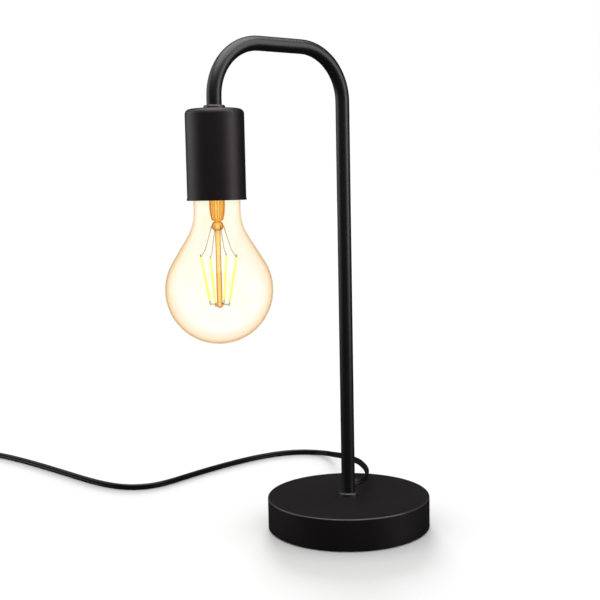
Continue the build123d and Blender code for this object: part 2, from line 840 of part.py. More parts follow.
def coil_point(turn):
    # A place on the coil and its direction: the spiral runs clockwise, in at the bottom layer and out
    # again at the top one, and climbs in the half turn about its middle.
    from_middle = turn - coil_turns / 2
    radius = coil_inner + coil_pitch * abs(from_middle)
    angle = -2 * math.pi * turn
    rate = coil_pitch / (2 * math.pi)
    inward = -rate if from_middle < 0 else rate
    bottom = coil_floor_gap + cord_width / 2
    climb = min(max(from_middle / coil_climb_turns + 1 / 2, 0), 1)
    height = bottom + coil_pitch * (1 - math.cos(math.pi * climb)) / 2
    slope = coil_pitch * math.sin(math.pi * climb) / (4 * coil_climb_turns)
    if from_middle == 0:
        inward = 0
    outward = Vector(math.cos(angle), math.sin(angle), 0)
    along = Vector(math.sin(angle), -math.cos(angle), 0)
    point = Vector(coil_centre[0], coil_centre[1], height) + outward * radius
    way = along * radius + outward * inward + Vector(0, 0, slope)
    return point, way.normalized()


def coil_ends():
    start, start_way = coil_point(0)
    end, end_way = coil_point(coil_turns)
    return start - start_way * cord_width, start_way, end + end_way * cord_width, end_way


def make_coil():
    quarters = int(4 * coil_turns)
    lead_in, lead_way, lead_out, tail_way = coil_ends()
    stations = [coil_point(index / 4) for index in range(quarters + 1)]
    edges = [Line(lead_in, stations[0][0])]
    for (start, start_way), (end, end_way) in zip(stations, stations[1:]):
        edges += biarc(start, start_way, end, end_way)
    edges.append(Line(stations[-1][0], lead_out))
    path = Wire(edges)
    coil = wire_along(path, cord_width)
    samples = [path @ (index / coil_samples) for index in range(coil_samples + 1)]
    apart = int(coil_samples * math.pi * cord_width / path.length) + 1
    least = min(
        (a - b).length
        for i, a in enumerate(samples)
        for b in samples[i + apart:]
    )
    expected = path.length * math.pi * cord_width ** 2 / 4
    print(f"cord_coil: {path.length:.1f} long, least gap to itself {least - cord_width:.2f}")
    print(f"cord_coil: volume {coil.volume:.0f}, section times length {expected:.0f}")
    save("cord_coil", coil)

    # The tie goes round the bundle of turns at one place.
    hole_width = coil_outer - coil_inner + cord_width + 2 * tie_clearance
    hole_height = coil_pitch + cord_width + 2 * tie_clearance
    middle_z = coil_floor_gap + (coil_pitch + cord_width) / 2
    middle_r = (coil_inner + coil_outer) / 2
    hole = RectangleRounded(hole_width, hole_height, cord_width / 2)
    rim = RectangleRounded(
        hole_width + 2 * tie_thickness, hole_height + 2 * tie_thickness, cord_width / 2 + tie_thickness
    )
    band = extrude(Plane.XZ * (rim - hole), tie_width / 2, both=True)
    place = Pos(coil_centre[0], coil_centre[1], 0) * Rot(0, 0, tie_angle) * Pos(middle_r, 0, middle_z)
    save("coil_tie", place * band)
    return path.length


def plug_rear():
    lead_in, lead_way, lead_out, tail_way = coil_ends()
    return (lead_out.X, lead_out.Y + plug_gap, plug_height / 2)


def make_plug():
    rear = plug_rear()
    # In the plug's own frame its pins point along +Z before it is laid down.
    place = Pos(*rear) * Rot(0, 0, plug_heading) * Rot(0, 90, 0) * Rot(0, 0, 90)
    neck_end = plug_relief_length
    shoulder = neck_end + plug_taper_length
    front = shoulder + plug_front_length
    neck_corner = plug_corner_radius * plug_neck_height / plug_height
    neck = RectangleRounded(plug_neck_width, plug_neck_height, neck_corner)
    outline = RectangleRounded(plug_width, plug_height, plug_corner_radius)
    relief = Cone(
        plug_relief_diameter / 2,
        plug_neck_height / 2,
        neck_end,
        align=(Align.CENTER, Align.CENTER, Align.MIN),
    )
    body = relief + loft([Pos(0, 0, neck_end) * neck, Pos(0, 0, shoulder) * outline])
    body += prism(outline, shoulder, front)
    pins = []
    sleeves = []
    sleeve_end = front + sleeve_length
    for side in (1, -1):
        x = side * pin_spacing / 2
        root_hole = pin_root_diameter + 2 * fit_clearance
        body -= disc(root_hole, front - pin_root_length, front + overrun, x)
        tip = disc(pin_width, sleeve_end, front + pin_length, x)
        tip = fillet(tip.edges().group_by(Axis.Z)[-1], pin_tip_radius)
        pins.append(place * (tip + disc(pin_root_diameter, front - pin_root_length, sleeve_end, x)))
        sleeves.append(place * ring(sleeve_diameter, pin_root_diameter, front, sleeve_end, x))
    save("plug_body", place * body)
    save("plug_pins", *pins)
    save("plug_sleeves", *sleeves)


def make_cord():
    coil_length = make_coil()
    lead_in, lead_way, lead_out, tail_way = coil_ends()
    run_end = [switch_end(-1, cord_straight), switch_end(-1)]
    run_length = cord_tube("cord_run", [cord_exit] + run_points + run_end)
    lead_start = [switch_end(1), switch_end(1, cord_straight)]
    lead_end = [tuple(lead_in - lead_way * cord_straight), tuple(lead_in)]
    lead_length = cord_tube("cord_lead", lead_start + lead_points + lead_end)
    plug_end = Vector(*plug_rear())
    tail_start = [tuple(lead_out), tuple(lead_out + tail_way * cord_straight)]
    tail_end = [tuple(plug_end - way_of(plug_heading) * cord_straight), tuple(plug_end)]
    tail_length = cord_tube("cord_tail", tail_start + tail_end)
    whole = run_length + switch_length + lead_length + coil_length + tail_length
    print(f"cord from the post to the plug: {whole:.0f}")


os.makedirs("parts", exist_ok=True)
make_base()
make_stem()
make_cores()
make_cover()
make_holder()
make_contacts()
make_bulb_cap()
make_bulb_glass()
make_bulb_mount()
make_switch()
make_plug()
make_cord()
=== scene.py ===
# %% [markdown]
# # A bedside lamp with an amber bulb
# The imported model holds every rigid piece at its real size: base, tube, cover, lampholder, bulb, switch
# and plug. This lesson dresses it. It lays the cord, blows the glass, lights the sticks in the bulb and
# gives each surface its finish. Lengths are in metres, +Z is up and the arm reaches along -X.

# %% Load the frame
import math

import bpy
from mathutils import Matrix, Vector


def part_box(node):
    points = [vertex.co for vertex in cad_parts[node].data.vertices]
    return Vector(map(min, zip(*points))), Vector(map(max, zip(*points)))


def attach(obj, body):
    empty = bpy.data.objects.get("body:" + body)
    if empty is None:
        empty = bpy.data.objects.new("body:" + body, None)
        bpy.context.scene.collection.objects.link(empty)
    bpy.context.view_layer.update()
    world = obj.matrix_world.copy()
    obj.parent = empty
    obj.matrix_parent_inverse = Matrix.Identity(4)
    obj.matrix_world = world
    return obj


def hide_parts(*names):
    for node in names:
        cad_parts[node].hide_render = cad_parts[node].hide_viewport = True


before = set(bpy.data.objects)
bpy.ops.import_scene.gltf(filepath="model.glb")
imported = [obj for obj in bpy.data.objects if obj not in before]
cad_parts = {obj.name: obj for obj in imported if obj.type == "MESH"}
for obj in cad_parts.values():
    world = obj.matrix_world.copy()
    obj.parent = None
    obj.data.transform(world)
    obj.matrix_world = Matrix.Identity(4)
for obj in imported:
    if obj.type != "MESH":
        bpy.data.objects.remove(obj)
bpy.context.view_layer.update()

# %% [markdown]
# ## The camera
# The photograph was taken from a little below the arm, turned about 37 degrees from a square view of the
# arch. A camera could be aimed with a constraint, but a matrix built from three axes shows plainly what
# each angle does: the azimuth turns it, the dip tips it down and the roll leans it.

# %% Camera
picture_side = 600
focal_pixels = 1056.7
sensor_side = 36.0
camera_place = Vector((-0.4911, -0.5906, 0.2529))
camera_azimuth = math.radians(37.27)
camera_dip = math.radians(6.17)
camera_roll = math.radians(-1.16)


def camera_matrix():
    ahead = Vector((math.sin(camera_azimuth), math.cos(camera_azimuth), -math.tan(camera_dip))).normalized()
    level = Vector((math.cos(camera_azimuth), -math.sin(camera_azimuth), 0.0))
    upward = level.cross(ahead)
    right = level * math.cos(camera_roll) + upward * math.sin(camera_roll)
    up = upward * math.cos(camera_roll) - level * math.sin(camera_roll)
    turn = Matrix((right, up, -ahead)).transposed()
    return Matrix.Translation(camera_place) @ turn.to_4x4()


camera_data = bpy.data.cameras.new("camera")
camera_data.sensor_width = sensor_side
camera_data.lens = focal_pixels * sensor_side / picture_side
camera = bpy.data.objects.new("camera", camera_data)
camera.matrix_world = camera_matrix()
bpy.context.scene.collection.objects.link(camera)
bpy.context.scene.camera = camera
print("camera: lens", round(camera_data.lens, 1), "mm")

# %% [markdown]
# ## The cord's route
# A flat two-core cord leaves the rear of the post, drops off the base, swings round on the floor and runs
# out of the picture to the switch. From there a short lead goes into a tied coil, and its end to the plug.
# A smooth NURBS curve with the listed control points lies as a limp cord does: it cuts every corner
# gently. The coil's points come from a formula, because a coil is a spiral in and out again.

# %% Route of the cord
cord_width = 0.0049
cord_straight = 0.0098
cord_exit = (0.0060, 0.0, 0.0315)
run_points = [
    (0.0110, 0.0, 0.0315),
    (0.0190, 0.0026, 0.0318),
    (0.0270, 0.0095, 0.0321),
    (0.0350, 0.0195, 0.0322),
    (0.0420, 0.0315, 0.0319),
    (0.0490, 0.0455, 0.0310),
    (0.0575, 0.0625, 0.0280),
    (0.0695, 0.0860, 0.0230),
    (0.0830, 0.1100, 0.0175),
    (0.0960, 0.1320, 0.0115),
    (0.1070, 0.1490, 0.0066),
    (0.1130, 0.1640, 0.0036),
    (0.1105, 0.1780, 0.0025),
    (0.1000, 0.1905, 0.0025),
    (0.0810, 0.1990, 0.0025),
    (0.0560, 0.2015, 0.0025),
    (0.0300, 0.1995, 0.0025),
    (0.0040, 0.1955, 0.0025),
    (-0.0220, 0.1900, 0.0025),
    (-0.0460, 0.1840, 0.0025),
    (-0.0650, 0.1825, 0.0025),
    (-0.0810, 0.1915, 0.0025),
    (-0.0900, 0.2070, 0.0025),
    (-0.0955, 0.2270, 0.0025),
    (-0.0995, 0.2500, 0.0025),
    (-0.1035, 0.2780, 0.0025),
    (-0.1085, 0.3100, 0.0025),
    (-0.1145, 0.3420, 0.0025),
    (-0.1215, 0.3700, 0.0025),
    (-0.1310, 0.3930, 0.0025),
    (-0.1470, 0.4090, 0.0025),
    (-0.1670, 0.4130, 0.0030),
    (-0.1840, 0.4020, 0.0048),
    (-0.1915, 0.3865, 0.0074),
]
lead_points = [
    (-0.2073, 0.2795, 0.0066),
    (-0.2084, 0.2655, 0.0048),
]
switch_middle = Vector((-0.200, 0.334, 0.008))
switch_heading = math.radians(262.0)
switch_half = 0.032


def switch_end(side, beyond=0.0):
    way = Vector((math.cos(switch_heading), math.sin(switch_heading), 0.0))
    return switch_middle + way * side * (switch_half + beyond)


run_route = [cord_exit, *run_points, switch_end(-1, cord_straight), switch_end(-1)]
print("run:", len(run_route), "control points from the post to the switch")

# %% Route of the coil and the tail
coil_middle = Vector((-0.243, 0.238, 0.0))
coil_pitch = 0.0055
coil_turns = 5.5
coil_climb_turns = 0.5
coil_middle_radius = 0.027
coil_floor_gap = 0.0013
coil_points_per_turn = 24
coil_inner = coil_middle_radius - coil_pitch * coil_turns / 4
plug_rear = Vector((-0.277687, 0.278898, 0.0068))
plug_heading = math.radians(93.0)
plug_way = Vector((math.cos(plug_heading), math.sin(plug_heading), 0.0))


def coil_point(turn):
    # In on the lower layer, out again on the upper one, with a climb about the middle.
    from_middle = turn - coil_turns / 2
    radius = coil_inner + coil_pitch * abs(from_middle)
    angle = -2 * math.pi * turn
    climb = min(max(from_middle / coil_climb_turns + 0.5, 0.0), 1.0)
    height = coil_floor_gap + cord_width / 2 + coil_pitch * (1 - math.cos(math.pi * climb)) / 2
    return coil_middle + Vector((radius * math.cos(angle), radius * math.sin(angle), height))


coil_steps = round(coil_turns * coil_points_per_turn)
coil_line = [coil_point(step / coil_points_per_turn) for step in range(coil_steps + 1)]
lead_in = coil_line[0] - (coil_line[1] - coil_line[0]).normalized() * cord_width
lead_out = coil_line[-1] + (coil_line[-1] - coil_line[-2]).normalized() * cord_width
tail_route = [switch_end(1), switch_end(1, cord_straight), *lead_points]
tail_route += [lead_in + (lead_in - coil_line[0]).normalized() * cord_straight, lead_in, *coil_line]
tail_route += [lead_out, lead_out + (lead_out - coil_line[-1]).normalized() * cord_straight]
tail_route += [plug_rear - plug_way * cord_straight, plug_rear]
print("tail:", len(tail_route), "control points from the switch to the plug")

# %% [markdown]
# ## The cord's body
# The real cord is two round cores side by side under one sheath, so its section is a figure of eight with
# a shallow groove. A curve's round bevel can't show that. The tube is swept by hand instead: rings of the
# section follow points read back from the smooth curve. A flat cord can turn along the floor only on its
# edge, so the section stands upright and sways a little from side to side.

# %% Smooth lines along the routes
curve_steps = 5
curve_order = 3


def smooth_line(name, route):
    # The points of a smooth curve that has the route as its control points.
    curve = bpy.data.curves.new(name, "CURVE")
    curve.dimensions = "3D"
    curve.resolution_u = curve_steps
    spline = curve.splines.new("NURBS")
    spline.points.add(len(route) - 1)
    for point, place in zip(spline.points, route):
        point.co = (*place, 1.0)
    spline.order_u = curve_order
    spline.use_endpoint_u = True
    holder = bpy.data.objects.new(name, curve)
    bpy.context.scene.collection.objects.link(holder)
    bpy.context.view_layer.update()
    line = bpy.data.meshes.new_from_object(holder.evaluated_get(bpy.context.evaluated_depsgraph_get()))
    points = [vertex.co.copy() for vertex in line.vertices]
    bpy.data.objects.remove(holder)
    bpy.data.meshes.remove(line)
    return points


def line_length(points):
    return sum((b - a).length for a, b in zip(points, points[1:]))


run_line = smooth_line("run_line", run_route)
tail_line = smooth_line("tail_line", tail_route)
print("cord:", round(line_length(run_line), 3), "m to the switch,", round(line_length(tail_line), 3), "m on")

# %% Section of the flat cord
core_radius = 0.0015
section_points = 28
groove_share = 0.86


def cord_section():
    # Two round cores side by side: a point on the outline for each angle round the middle.
    offset = cord_width / 2 - core_radius
    outline = []
    for index in range(section_points):
        angle = 2 * math.pi * index / section_points
        across = math.cos(angle)
        along = offset * abs(across)
        reach = along + math.sqrt(core_radius ** 2 - (offset * math.sin(angle)) ** 2)
        waist = 1 - (1 - groove_share) * (1 - abs(across)) ** 2
        outline.append((reach * across, reach * math.sin(angle) * waist))
    return outline


section = cord_section()
print("section:", round(2000 * max(w for w, t in section), 2), "mm wide,", section_points, "points")

# %% Sweep of the flat cord
run_lean = math.radians(12.0)
run_sway = 9.0
tail_lean = math.radians(8.0)
tail_sway = 5.0


def mesh_piece(name, places, faces, smooth=True):
    mesh = bpy.data.meshes.new(name)
    mesh.from_pydata([tuple(p) for p in places], [], faces)
    mesh.polygons.foreach_set("use_smooth", [smooth] * len(mesh.polygons))
    mesh.update()
    piece = bpy.data.objects.new(name, mesh)
    bpy.context.scene.collection.objects.link(piece)
    return piece


def sweep_cord(name, points, lean, sway):
    # The lean is the section's largest angle, and the sway is the angle its wave covers on the way.
    places = []
    for index, point in enumerate(points):
        before = points[max(index - 1, 0)]
        after = points[min(index + 1, len(points) - 1)]
        way = (after - before).normalized()
        side = way.cross(Vector((0.0, 0.0, 1.0))).normalized()
        up = side.cross(way)
        share = index / (len(points) - 1)
        tilt = lean * math.sin(sway * share)
        wide = up * math.cos(tilt) + side * math.sin(tilt)
        thin = side * math.cos(tilt) - up * math.sin(tilt)
        places += [point + wide * w + thin * t for w, t in section]
    faces = []
    for ring in range(len(points) - 1):
        for step in range(section_points):
            here = ring * section_points + step
            beside = ring * section_points + (step + 1) % section_points
            faces.append((here, here + section_points, beside + section_points, beside))
    last = (len(points) - 1) * section_points
    faces.append(tuple(range(section_points)))
    faces.append(tuple(last + step for step in reversed(range(section_points))))
    return mesh_piece(name, places, faces)


cord_to_switch = sweep_cord("cord_to_switch", run_line, run_lean, run_sway)
cord_to_plug = sweep_cord("cord_to_plug", tail_line, tail_lean, tail_sway)
print("swept:", len(cord_to_switch.data.polygons) + len(cord_to_plug.data.polygons), "faces")

# %% [markdown]
# ## Values on a surface
# A finish is a sum of small effects: grain, clouds of tone, gloss. Node trees are hard to read in code, so
# one class wraps a socket and lets plain arithmetic add the Math nodes, and one class builds a material and
# adds any other node.

# %% Shader arithmetic
class Value:
    # A number that varies over a surface, held by an output socket.
    def __init__(self, finish, socket):
        self.finish = finish
        self.socket = socket

    def calculated(self, operation, first, second):
        return self.finish.add("ShaderNodeMath", {"operation": operation}, {0: first, 1: second})

    def __add__(self, other):
        return self.calculated("ADD", self, other)

    def __radd__(self, other):
        return self.calculated("ADD", other, self)

    def __sub__(self, other):
        return self.calculated("SUBTRACT", self, other)

    def __rsub__(self, other):
        return self.calculated("SUBTRACT", other, self)

    def __mul__(self, other):
        return self.calculated("MULTIPLY", self, other)

    def __rmul__(self, other):
        return self.calculated("MULTIPLY", other, self)

    def __pow__(self, other):
        return self.calculated("POWER", self, other)


# %% Material builder
class Finish:
    # A material under construction.
    def __init__(self, name):
        self.material = bpy.data.materials.new(name)
        self.material.use_nodes = True
        self.material.node_tree.nodes.clear()

    def add(self, kind, settings=None, sockets=None, output=0):
        node = self.material.node_tree.nodes.new(kind)
        for name, value in (settings or {}).items():
            setattr(node, name, value)
        for key, value in (sockets or {}).items():
            if isinstance(value, Value):
                self.material.node_tree.links.new(value.socket, node.inputs[key])
            else:
                node.inputs[key].default_value = value
        return Value(self, node.outputs[output]) if node.outputs else None

    def place(self):
        return self.add("ShaderNodeTexCoord", output="Object")

    def noise(self, size, detail=2.0):
        return self.add(
            "ShaderNodeTexNoise", sockets={"Vector": self.place(), "Scale": 1 / size, "Detail": detail}
        )

    def height(self):
        return self.add("ShaderNodeSeparateXYZ", sockets={0: self.place()}, output="Z")

    def blend(self, share, first, second):
        # Mixes two colours, each a plain one or a value. The Mix node takes them at its sockets 6 and 7.
        ends = [colour if isinstance(colour, Value) else (*colour, 1.0) for colour in (first, second)]
        return self.add("ShaderNodeMix", {"data_type": "RGBA"}, {0: share, 6: ends[0], 7: ends[1]}, output=2)

    def within(self, value, low, high):
        # 0 below the low end, 1 above the high end and a ramp between them.
        return self.add("ShaderNodeMapRange", sockets={"Value": value, "From Min": low, "From Max": high})

    def bump(self, height, depth):
        return self.add("ShaderNodeBump", sockets={"Height": height, "Distance": depth, "Strength": 1.0})

    def mix(self, share, first, second):
        return self.add("ShaderNodeMixShader", sockets={0: share, 1: first, 2: second})

    def done(self, shader):
        self.add("ShaderNodeOutputMaterial", sockets={"Surface": shader})
        return self.material

    def solid(self, sockets):
        return self.done(self.add("ShaderNodeBsdfPrincipled", sockets=sockets))


# %% [markdown]
# ## Black finishes
# The base, tube and cover are steel with a matt black powder coat: a fine orange peel and a broad soft
# sheen with a faint warm tint. Plastic and the cord's sheath are black too, but smoother or softer. Tone,
# grain, roughness and shine tell them apart, so one function makes the sockets of them all.

# %% Sockets of a black finish
cloud_scale = 60
no_hue = (1.0, 1.0, 1.0)


def black_sockets(finish, dark, light, grain_size, grain_depth, rough, rough_spread, shine, hue=no_hue):
    # Soft clouds mix the dark and the light tone. Clouds and grain together vary the roughness.
    grain = finish.noise(grain_size)
    clouds = finish.noise(grain_size * cloud_scale)
    return {
        "Base Color": finish.blend(clouds, dark, light),
        "Roughness": rough + rough_spread * (grain + clouds - 1.0),
        "Normal": finish.bump(grain, grain_depth),
        "Specular IOR Level": shine,
        "Specular Tint": (*hue, 1.0),
    }


def black_finish(name, **look):
    finish = Finish(name)
    return finish.solid(black_sockets(finish, **look))


# %% Powder coat and sheath
def grey(tone):
    return (tone, tone, tone)


coat_tones = {"dark": (0.003, 0.0016, 0.002), "light": (0.005, 0.003, 0.0036)}
coat_look = coat_tones | {
    "grain_size": 0.0005,
    "grain_depth": 0.00002,
    "rough": 0.46,
    "rough_spread": 0.10,
    "shine": 0.36,
    "hue": (1.0, 0.87, 0.94),
}
coat = black_finish("powder_coat", **coat_look)
tube_coat = black_finish(
    "tube_coat", **coat_tones,
    grain_size=0.0005, grain_depth=0.00001, rough=0.38, rough_spread=0.08, shine=0.42,
)
ring_coat = black_finish(
    "ring_coat", dark=grey(0.006), light=grey(0.010),
    grain_size=0.0004, grain_depth=0.00001, rough=0.42, rough_spread=0.06, shine=0.62,
)
sheath = black_finish(
    "cord_sheath", dark=grey(0.0020), light=grey(0.0035),
    grain_size=0.0008, grain_depth=0.00001, rough=0.38, rough_spread=0.10, shine=0.24,
)
print("coats and sheath made:", len(bpy.data.materials), "materials so far")

# %% Plastics and rubber
plastic_tones = {"dark": (0.016, 0.0135, 0.0155), "light": (0.022, 0.019, 0.0215), "hue": (1.0, 0.93, 0.99)}
casing = black_finish(
    "switch_casing", **plastic_tones,
    grain_size=0.0004, grain_depth=0.00003, rough=0.42, rough_spread=0.08, shine=0.45,
)
key_plastic = black_finish(
    "rocker_plastic", **plastic_tones,
    grain_size=0.0006, grain_depth=0.00001, rough=0.32, rough_spread=0.06, shine=0.50,
)
soft_black = black_finish(
    "soft_black", dark=grey(0.014), light=grey(0.022),
    grain_size=0.0009, grain_depth=0.00005, rough=0.70, rough_spread=0.12, shine=0.30,
)
thermoset = black_finish(
    "holder_thermoset", dark=grey(0.014), light=grey(0.020),
    grain_size=0.0006, grain_depth=0.00002, rough=0.45, rough_spread=0.10, shine=0.40,
)
print("plastics and rubber made:", len(bpy.data.materials), "materials so far")

# %% [markdown]
# ## The rim's painted highlight
# The upper rim of the base is painted paler as a highlight line along its edge, and it is smoother too.
# Vertex paint would need a finer mesh. A mask made from the distance to the axis and the height stays sharp.

# %% Base coat with a painted highlight on the rim
base_low, base_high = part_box("base_shell")
base_radius = (base_high.x - base_low.x) / 2
rim_width = 0.0009
# A pale tone painted along the rim stands for the highlight line on its edge; the rim is also less rough.
rim_highlight_tone = grey(0.065)
rim_highlight_least = 0.6
rim_highlight_clouds = 0.4
rim_polish = 0.14


def painted_rim_highlight_coat():
    finish = Finish("base_coat")
    sockets = black_sockets(finish, **coat_look)
    clouds = finish.noise(coat_look["grain_size"] * cloud_scale)
    flat = {0: finish.place(), 1: (1.0, 1.0, 0.0)}
    level = finish.add("ShaderNodeVectorMath", {"operation": "MULTIPLY"}, flat)
    radius = finish.add("ShaderNodeVectorMath", {"operation": "LENGTH"}, {0: level}, output="Value")
    outer = finish.within(radius, base_radius - rim_width, base_radius - rim_width / 2)
    upper = finish.within(finish.height(), base_high.z - rim_width, base_high.z - rim_width / 2)
    rim = outer * upper
    # Painted highlight: the rim's colour is mixed towards the pale tone, a little unevenly by the clouds.
    rim_highlight_share = rim * (rim_highlight_least + rim_highlight_clouds * clouds)
    sockets["Base Color"] = finish.blend(rim_highlight_share, sockets["Base Color"], rim_highlight_tone)
    sockets["Roughness"] = sockets["Roughness"] - rim_polish * rim
    return finish.solid(sockets)


base_coat = painted_rim_highlight_coat()
print("base coat: rim", round(1000 * rim_width, 1), "mm wide at", round(1000 * base_radius, 1), "mm")

# %% [markdown]
# ## Metals and the other small finishes
# The lampholder, the switch and the base hold brass contacts, plated steel, porcelain and an iron weight.
# Most of them show only when the bulb is out or the lamp is apart, yet each has its own grain, and one
# function with a few values is enough for all. The thin wires in the bulb are dull and scatter light,
# because a mirror so thin would show only black or white.

# %% Metals, porcelain and insulation
grain_detail = 3.0
metal_spread = 0.2
plain_spread = 0.15


def grained(name, dark, light, grain_size, rough, depth=0.00001, metallic=0.0):
    # One grain sets the colour, the roughness and the bump, on metal and on anything else.
    finish = Finish(name)
    grain = finish.noise(grain_size, grain_detail)
    spread = metal_spread if metallic else plain_spread
    return finish.solid({
        "Base Color": finish.blend(grain, dark, light),
        "Metallic": metallic,
        "Roughness": rough + spread * (grain - 0.5),
        "Normal": finish.bump(grain, depth),
    })


def metal(name, dark, light, grain_size, rough):
    return grained(name, dark, light, grain_size, rough, metallic=1.0)


brass = metal("brass", (0.55, 0.36, 0.12), (0.80, 0.60, 0.27), grain_size=0.002, rough=0.30)
zinc = metal("zinc_plate", (0.42, 0.42, 0.40), (0.62, 0.62, 0.60), grain_size=0.0015, rough=0.35)
nickel = metal("nickel_plate", (0.60, 0.59, 0.56), (0.78, 0.77, 0.74), grain_size=0.003, rough=0.22)
lead_wire = grained("lead_wire", (0.46, 0.39, 0.24), (0.58, 0.50, 0.32), grain_size=0.001, rough=0.45)
iron_tones = ((0.06, 0.057, 0.055), (0.11, 0.105, 0.10))
iron = grained("cast_iron", *iron_tones, grain_size=0.003, rough=0.62, depth=0.0002)
porcelain = grained("porcelain", (0.74, 0.72, 0.67), (0.83, 0.81, 0.77), grain_size=0.01, rough=0.18)
cap_glass_tones = ((0.010, 0.010, 0.014), (0.020, 0.020, 0.026))
cap_glass = grained("cap_insulator", *cap_glass_tones, grain_size=0.003, rough=0.12)
board = grained("driver_board", (0.02, 0.10, 0.045), (0.035, 0.16, 0.07), grain_size=0.002, rough=0.40)
brown_core = grained("brown_core", (0.10, 0.035, 0.012), (0.14, 0.05, 0.018), grain_size=0.001, rough=0.40)
blue_core = grained("blue_core", (0.02, 0.07, 0.26), (0.03, 0.10, 0.33), grain_size=0.001, rough=0.40)
print("metals and insulation made:", len(bpy.data.materials), "materials so far")

# %% Each node wears its finish
worn = {
    "base_shell": base_coat,
    "socket_cover": coat,
    "stem_tube": tube_coat,
    "foot_collar head_collar": ring_coat,
    "switch_lower switch_upper plug_body plug_sleeves": casing,
    "switch_rocker": key_plastic,
    "base_pad cord_grommet coil_tie": soft_black,
    "holder_dome holder_skirt": thermoset,
    "base_weight": iron,
    "screw_shell centre_contact live_terminal neutral_terminal": brass,
    "rocker_contact switch_posts switch_terminals": brass,
    "stem_washer stem_nut holder_nut terminal_screws switch_screws rocker_pin": zinc,
    "bulb_cap bulb_contact plug_pins": nickel,
    "filament_leads filament_links": lead_wire,
    "holder_insert": porcelain,
    "bulb_insulator": cap_glass,
    "bulb_driver": board,
    "live_wire": brown_core,
    "neutral_wire": blue_core,
    "switch_wires": sheath,
}


def wear(piece, material):
    piece.data.materials.clear()
    piece.data.materials.append(material)


for names, material in worn.items():
    for name in names.split():
        wear(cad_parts[name], material)
for piece in (cord_to_switch, cord_to_plug):
    wear(piece, sheath)
print("worn:", sum(len(names.split()) for names in worn), "nodes")

# %% [markdown]
# ## Amber glass
# The bulb's glass is clear in the middle and amber towards its edge, because a sight line near the edge
# runs further through the tinted wall. A refracting shader shows this only slowly and with noise. Plain
# tints give it cleanly. The middle's tint warms with height, and bands of stronger tint take over as the
# surface turns from the eye: three on the globe, two on the mount. A sharp reflection lies on top and
# grows towards the edge.

# %% Glass finish
glass_roughness = 0.04
facing_blend = 0.5
front_shine = 0.01
shine_power = 5.0


def tinted_glass(name, middle, upper, fade, bands, edge_shine):
    # The middle's tint gives way to the upper one between the two heights of the fade. Each band adds a
    # tint nearer the edge, from one share of the turn away from the eye to another.
    glass = Finish(name)

    def pane(tint):
        return glass.add("ShaderNodeBsdfTransparent", sockets={"Color": (*tint, 1.0)})

    through = glass.mix(glass.within(glass.height(), *fade), pane(middle), pane(upper))
    facing = glass.add("ShaderNodeLayerWeight", sockets={"Blend": facing_blend}, output="Facing")
    for tint, band_start, band_end in bands:
        through = glass.mix(glass.within(facing, band_start, band_end), through, pane(tint))
    gloss = {"Color": (1.0, 1.0, 1.0, 1.0), "Roughness": glass_roughness}
    shine = glass.add("ShaderNodeBsdfAnisotropic", sockets=gloss)
    return glass.done(glass.mix(front_shine + edge_shine * facing ** shine_power, through, shine))


# %% Globe and mount tints
globe_low, globe_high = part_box("bulb_globe")
stem_low, stem_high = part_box("bulb_stem")
globe_fade_start = 0.030
globe_fade_end = 0.075
mount_fade_start = 0.026
mount_fade_end = 0.020

globe_finish = tinted_glass(
    "amber_globe",
    middle=(1.0, 1.0, 0.972),
    upper=(1.0, 0.99, 0.935),
    fade=(globe_low.z + globe_fade_start, globe_low.z + globe_fade_end),
    bands=[
        ((1.0, 0.972, 0.91), 0.34, 0.54),
        ((1.0, 0.875, 0.74), 0.58, 0.86),
        ((0.72, 0.66, 0.52), 0.80, 0.98),
    ],
    edge_shine=0.06,
)
mount_finish = tinted_glass(
    "amber_mount",
    middle=(1.0, 0.86, 0.52),
    upper=(1.0, 0.80, 0.46),
    fade=(stem_high.z - mount_fade_start, stem_high.z - mount_fade_end),
    bands=[
        ((0.79, 0.36, 0.03), 0.0, 0.6),
        ((0.35, 0.13, 0.01), 0.55, 1.05),
    ],
    edge_shine=0.15,
)
print("glass made for", round(1000 * (globe_high.z - globe_low.z)), "mm of globe")

# %% [markdown]
# ## The bulb
# Blown glass is round about its axis, so its outline turned about that axis is the whole shape. The
# outline is a round belly, a straight cone, a hollow blend into the neck, and a shoulder that goes into
# the cap. The mount inside is drawn glass: a fluted tube, pinched shut over its wires, a bead and a rod.

# %% Turned glass
turn_steps = 96
axis_radius = 1e-7


def arc(centre, radius, start, end, steps):
    angles = [start + (end - start) * step / steps for step in range(steps + 1)]
    return [(centre[0] + radius * math.cos(a), centre[1] + radius * math.sin(a)) for a in angles]


def turned(name, outline, swell=None):
    # Rings of the outline about the bulb's axis. A point on the axis closes to one vertex.
    places = []
    rings = []
    for radius, height in outline:
        if radius < axis_radius:
            rings.append([len(places)] * turn_steps)
            places.append((bulb_x, 0.0, height))
            continue
        rings.append([len(places) + step for step in range(turn_steps)])
        for step in range(turn_steps):
            angle = 2 * math.pi * step / turn_steps
            reach = radius * (swell(angle, height) if swell else 1.0)
            places.append((bulb_x + reach * math.cos(angle), reach * math.sin(angle), height))
    faces = []
    for lower, upper in zip(rings, rings[1:]):
        for step in range(turn_steps):
            after = (step + 1) % turn_steps
            corners = [lower[step], lower[after], upper[after], upper[step]]
            faces.append(tuple(dict.fromkeys(corners)))
    return mesh_piece(name, places, faces)


# %% Blown globe
bulb_x = (globe_low.x + globe_high.x) / 2
belly_radius = (globe_high.x - globe_low.x) / 2
belly_z = globe_low.z + belly_radius
belly_steps = 40
cap_bottom = stem_high.z
cone_angle = math.radians(31.6)
neck_radius = 0.0156
neck_blend = 0.032
neck_blend_steps = 14
neck_below_cap = 0.0055
neck_end_radius = 0.0122
neck_end_height = 0.003
glass_wall = 0.0006


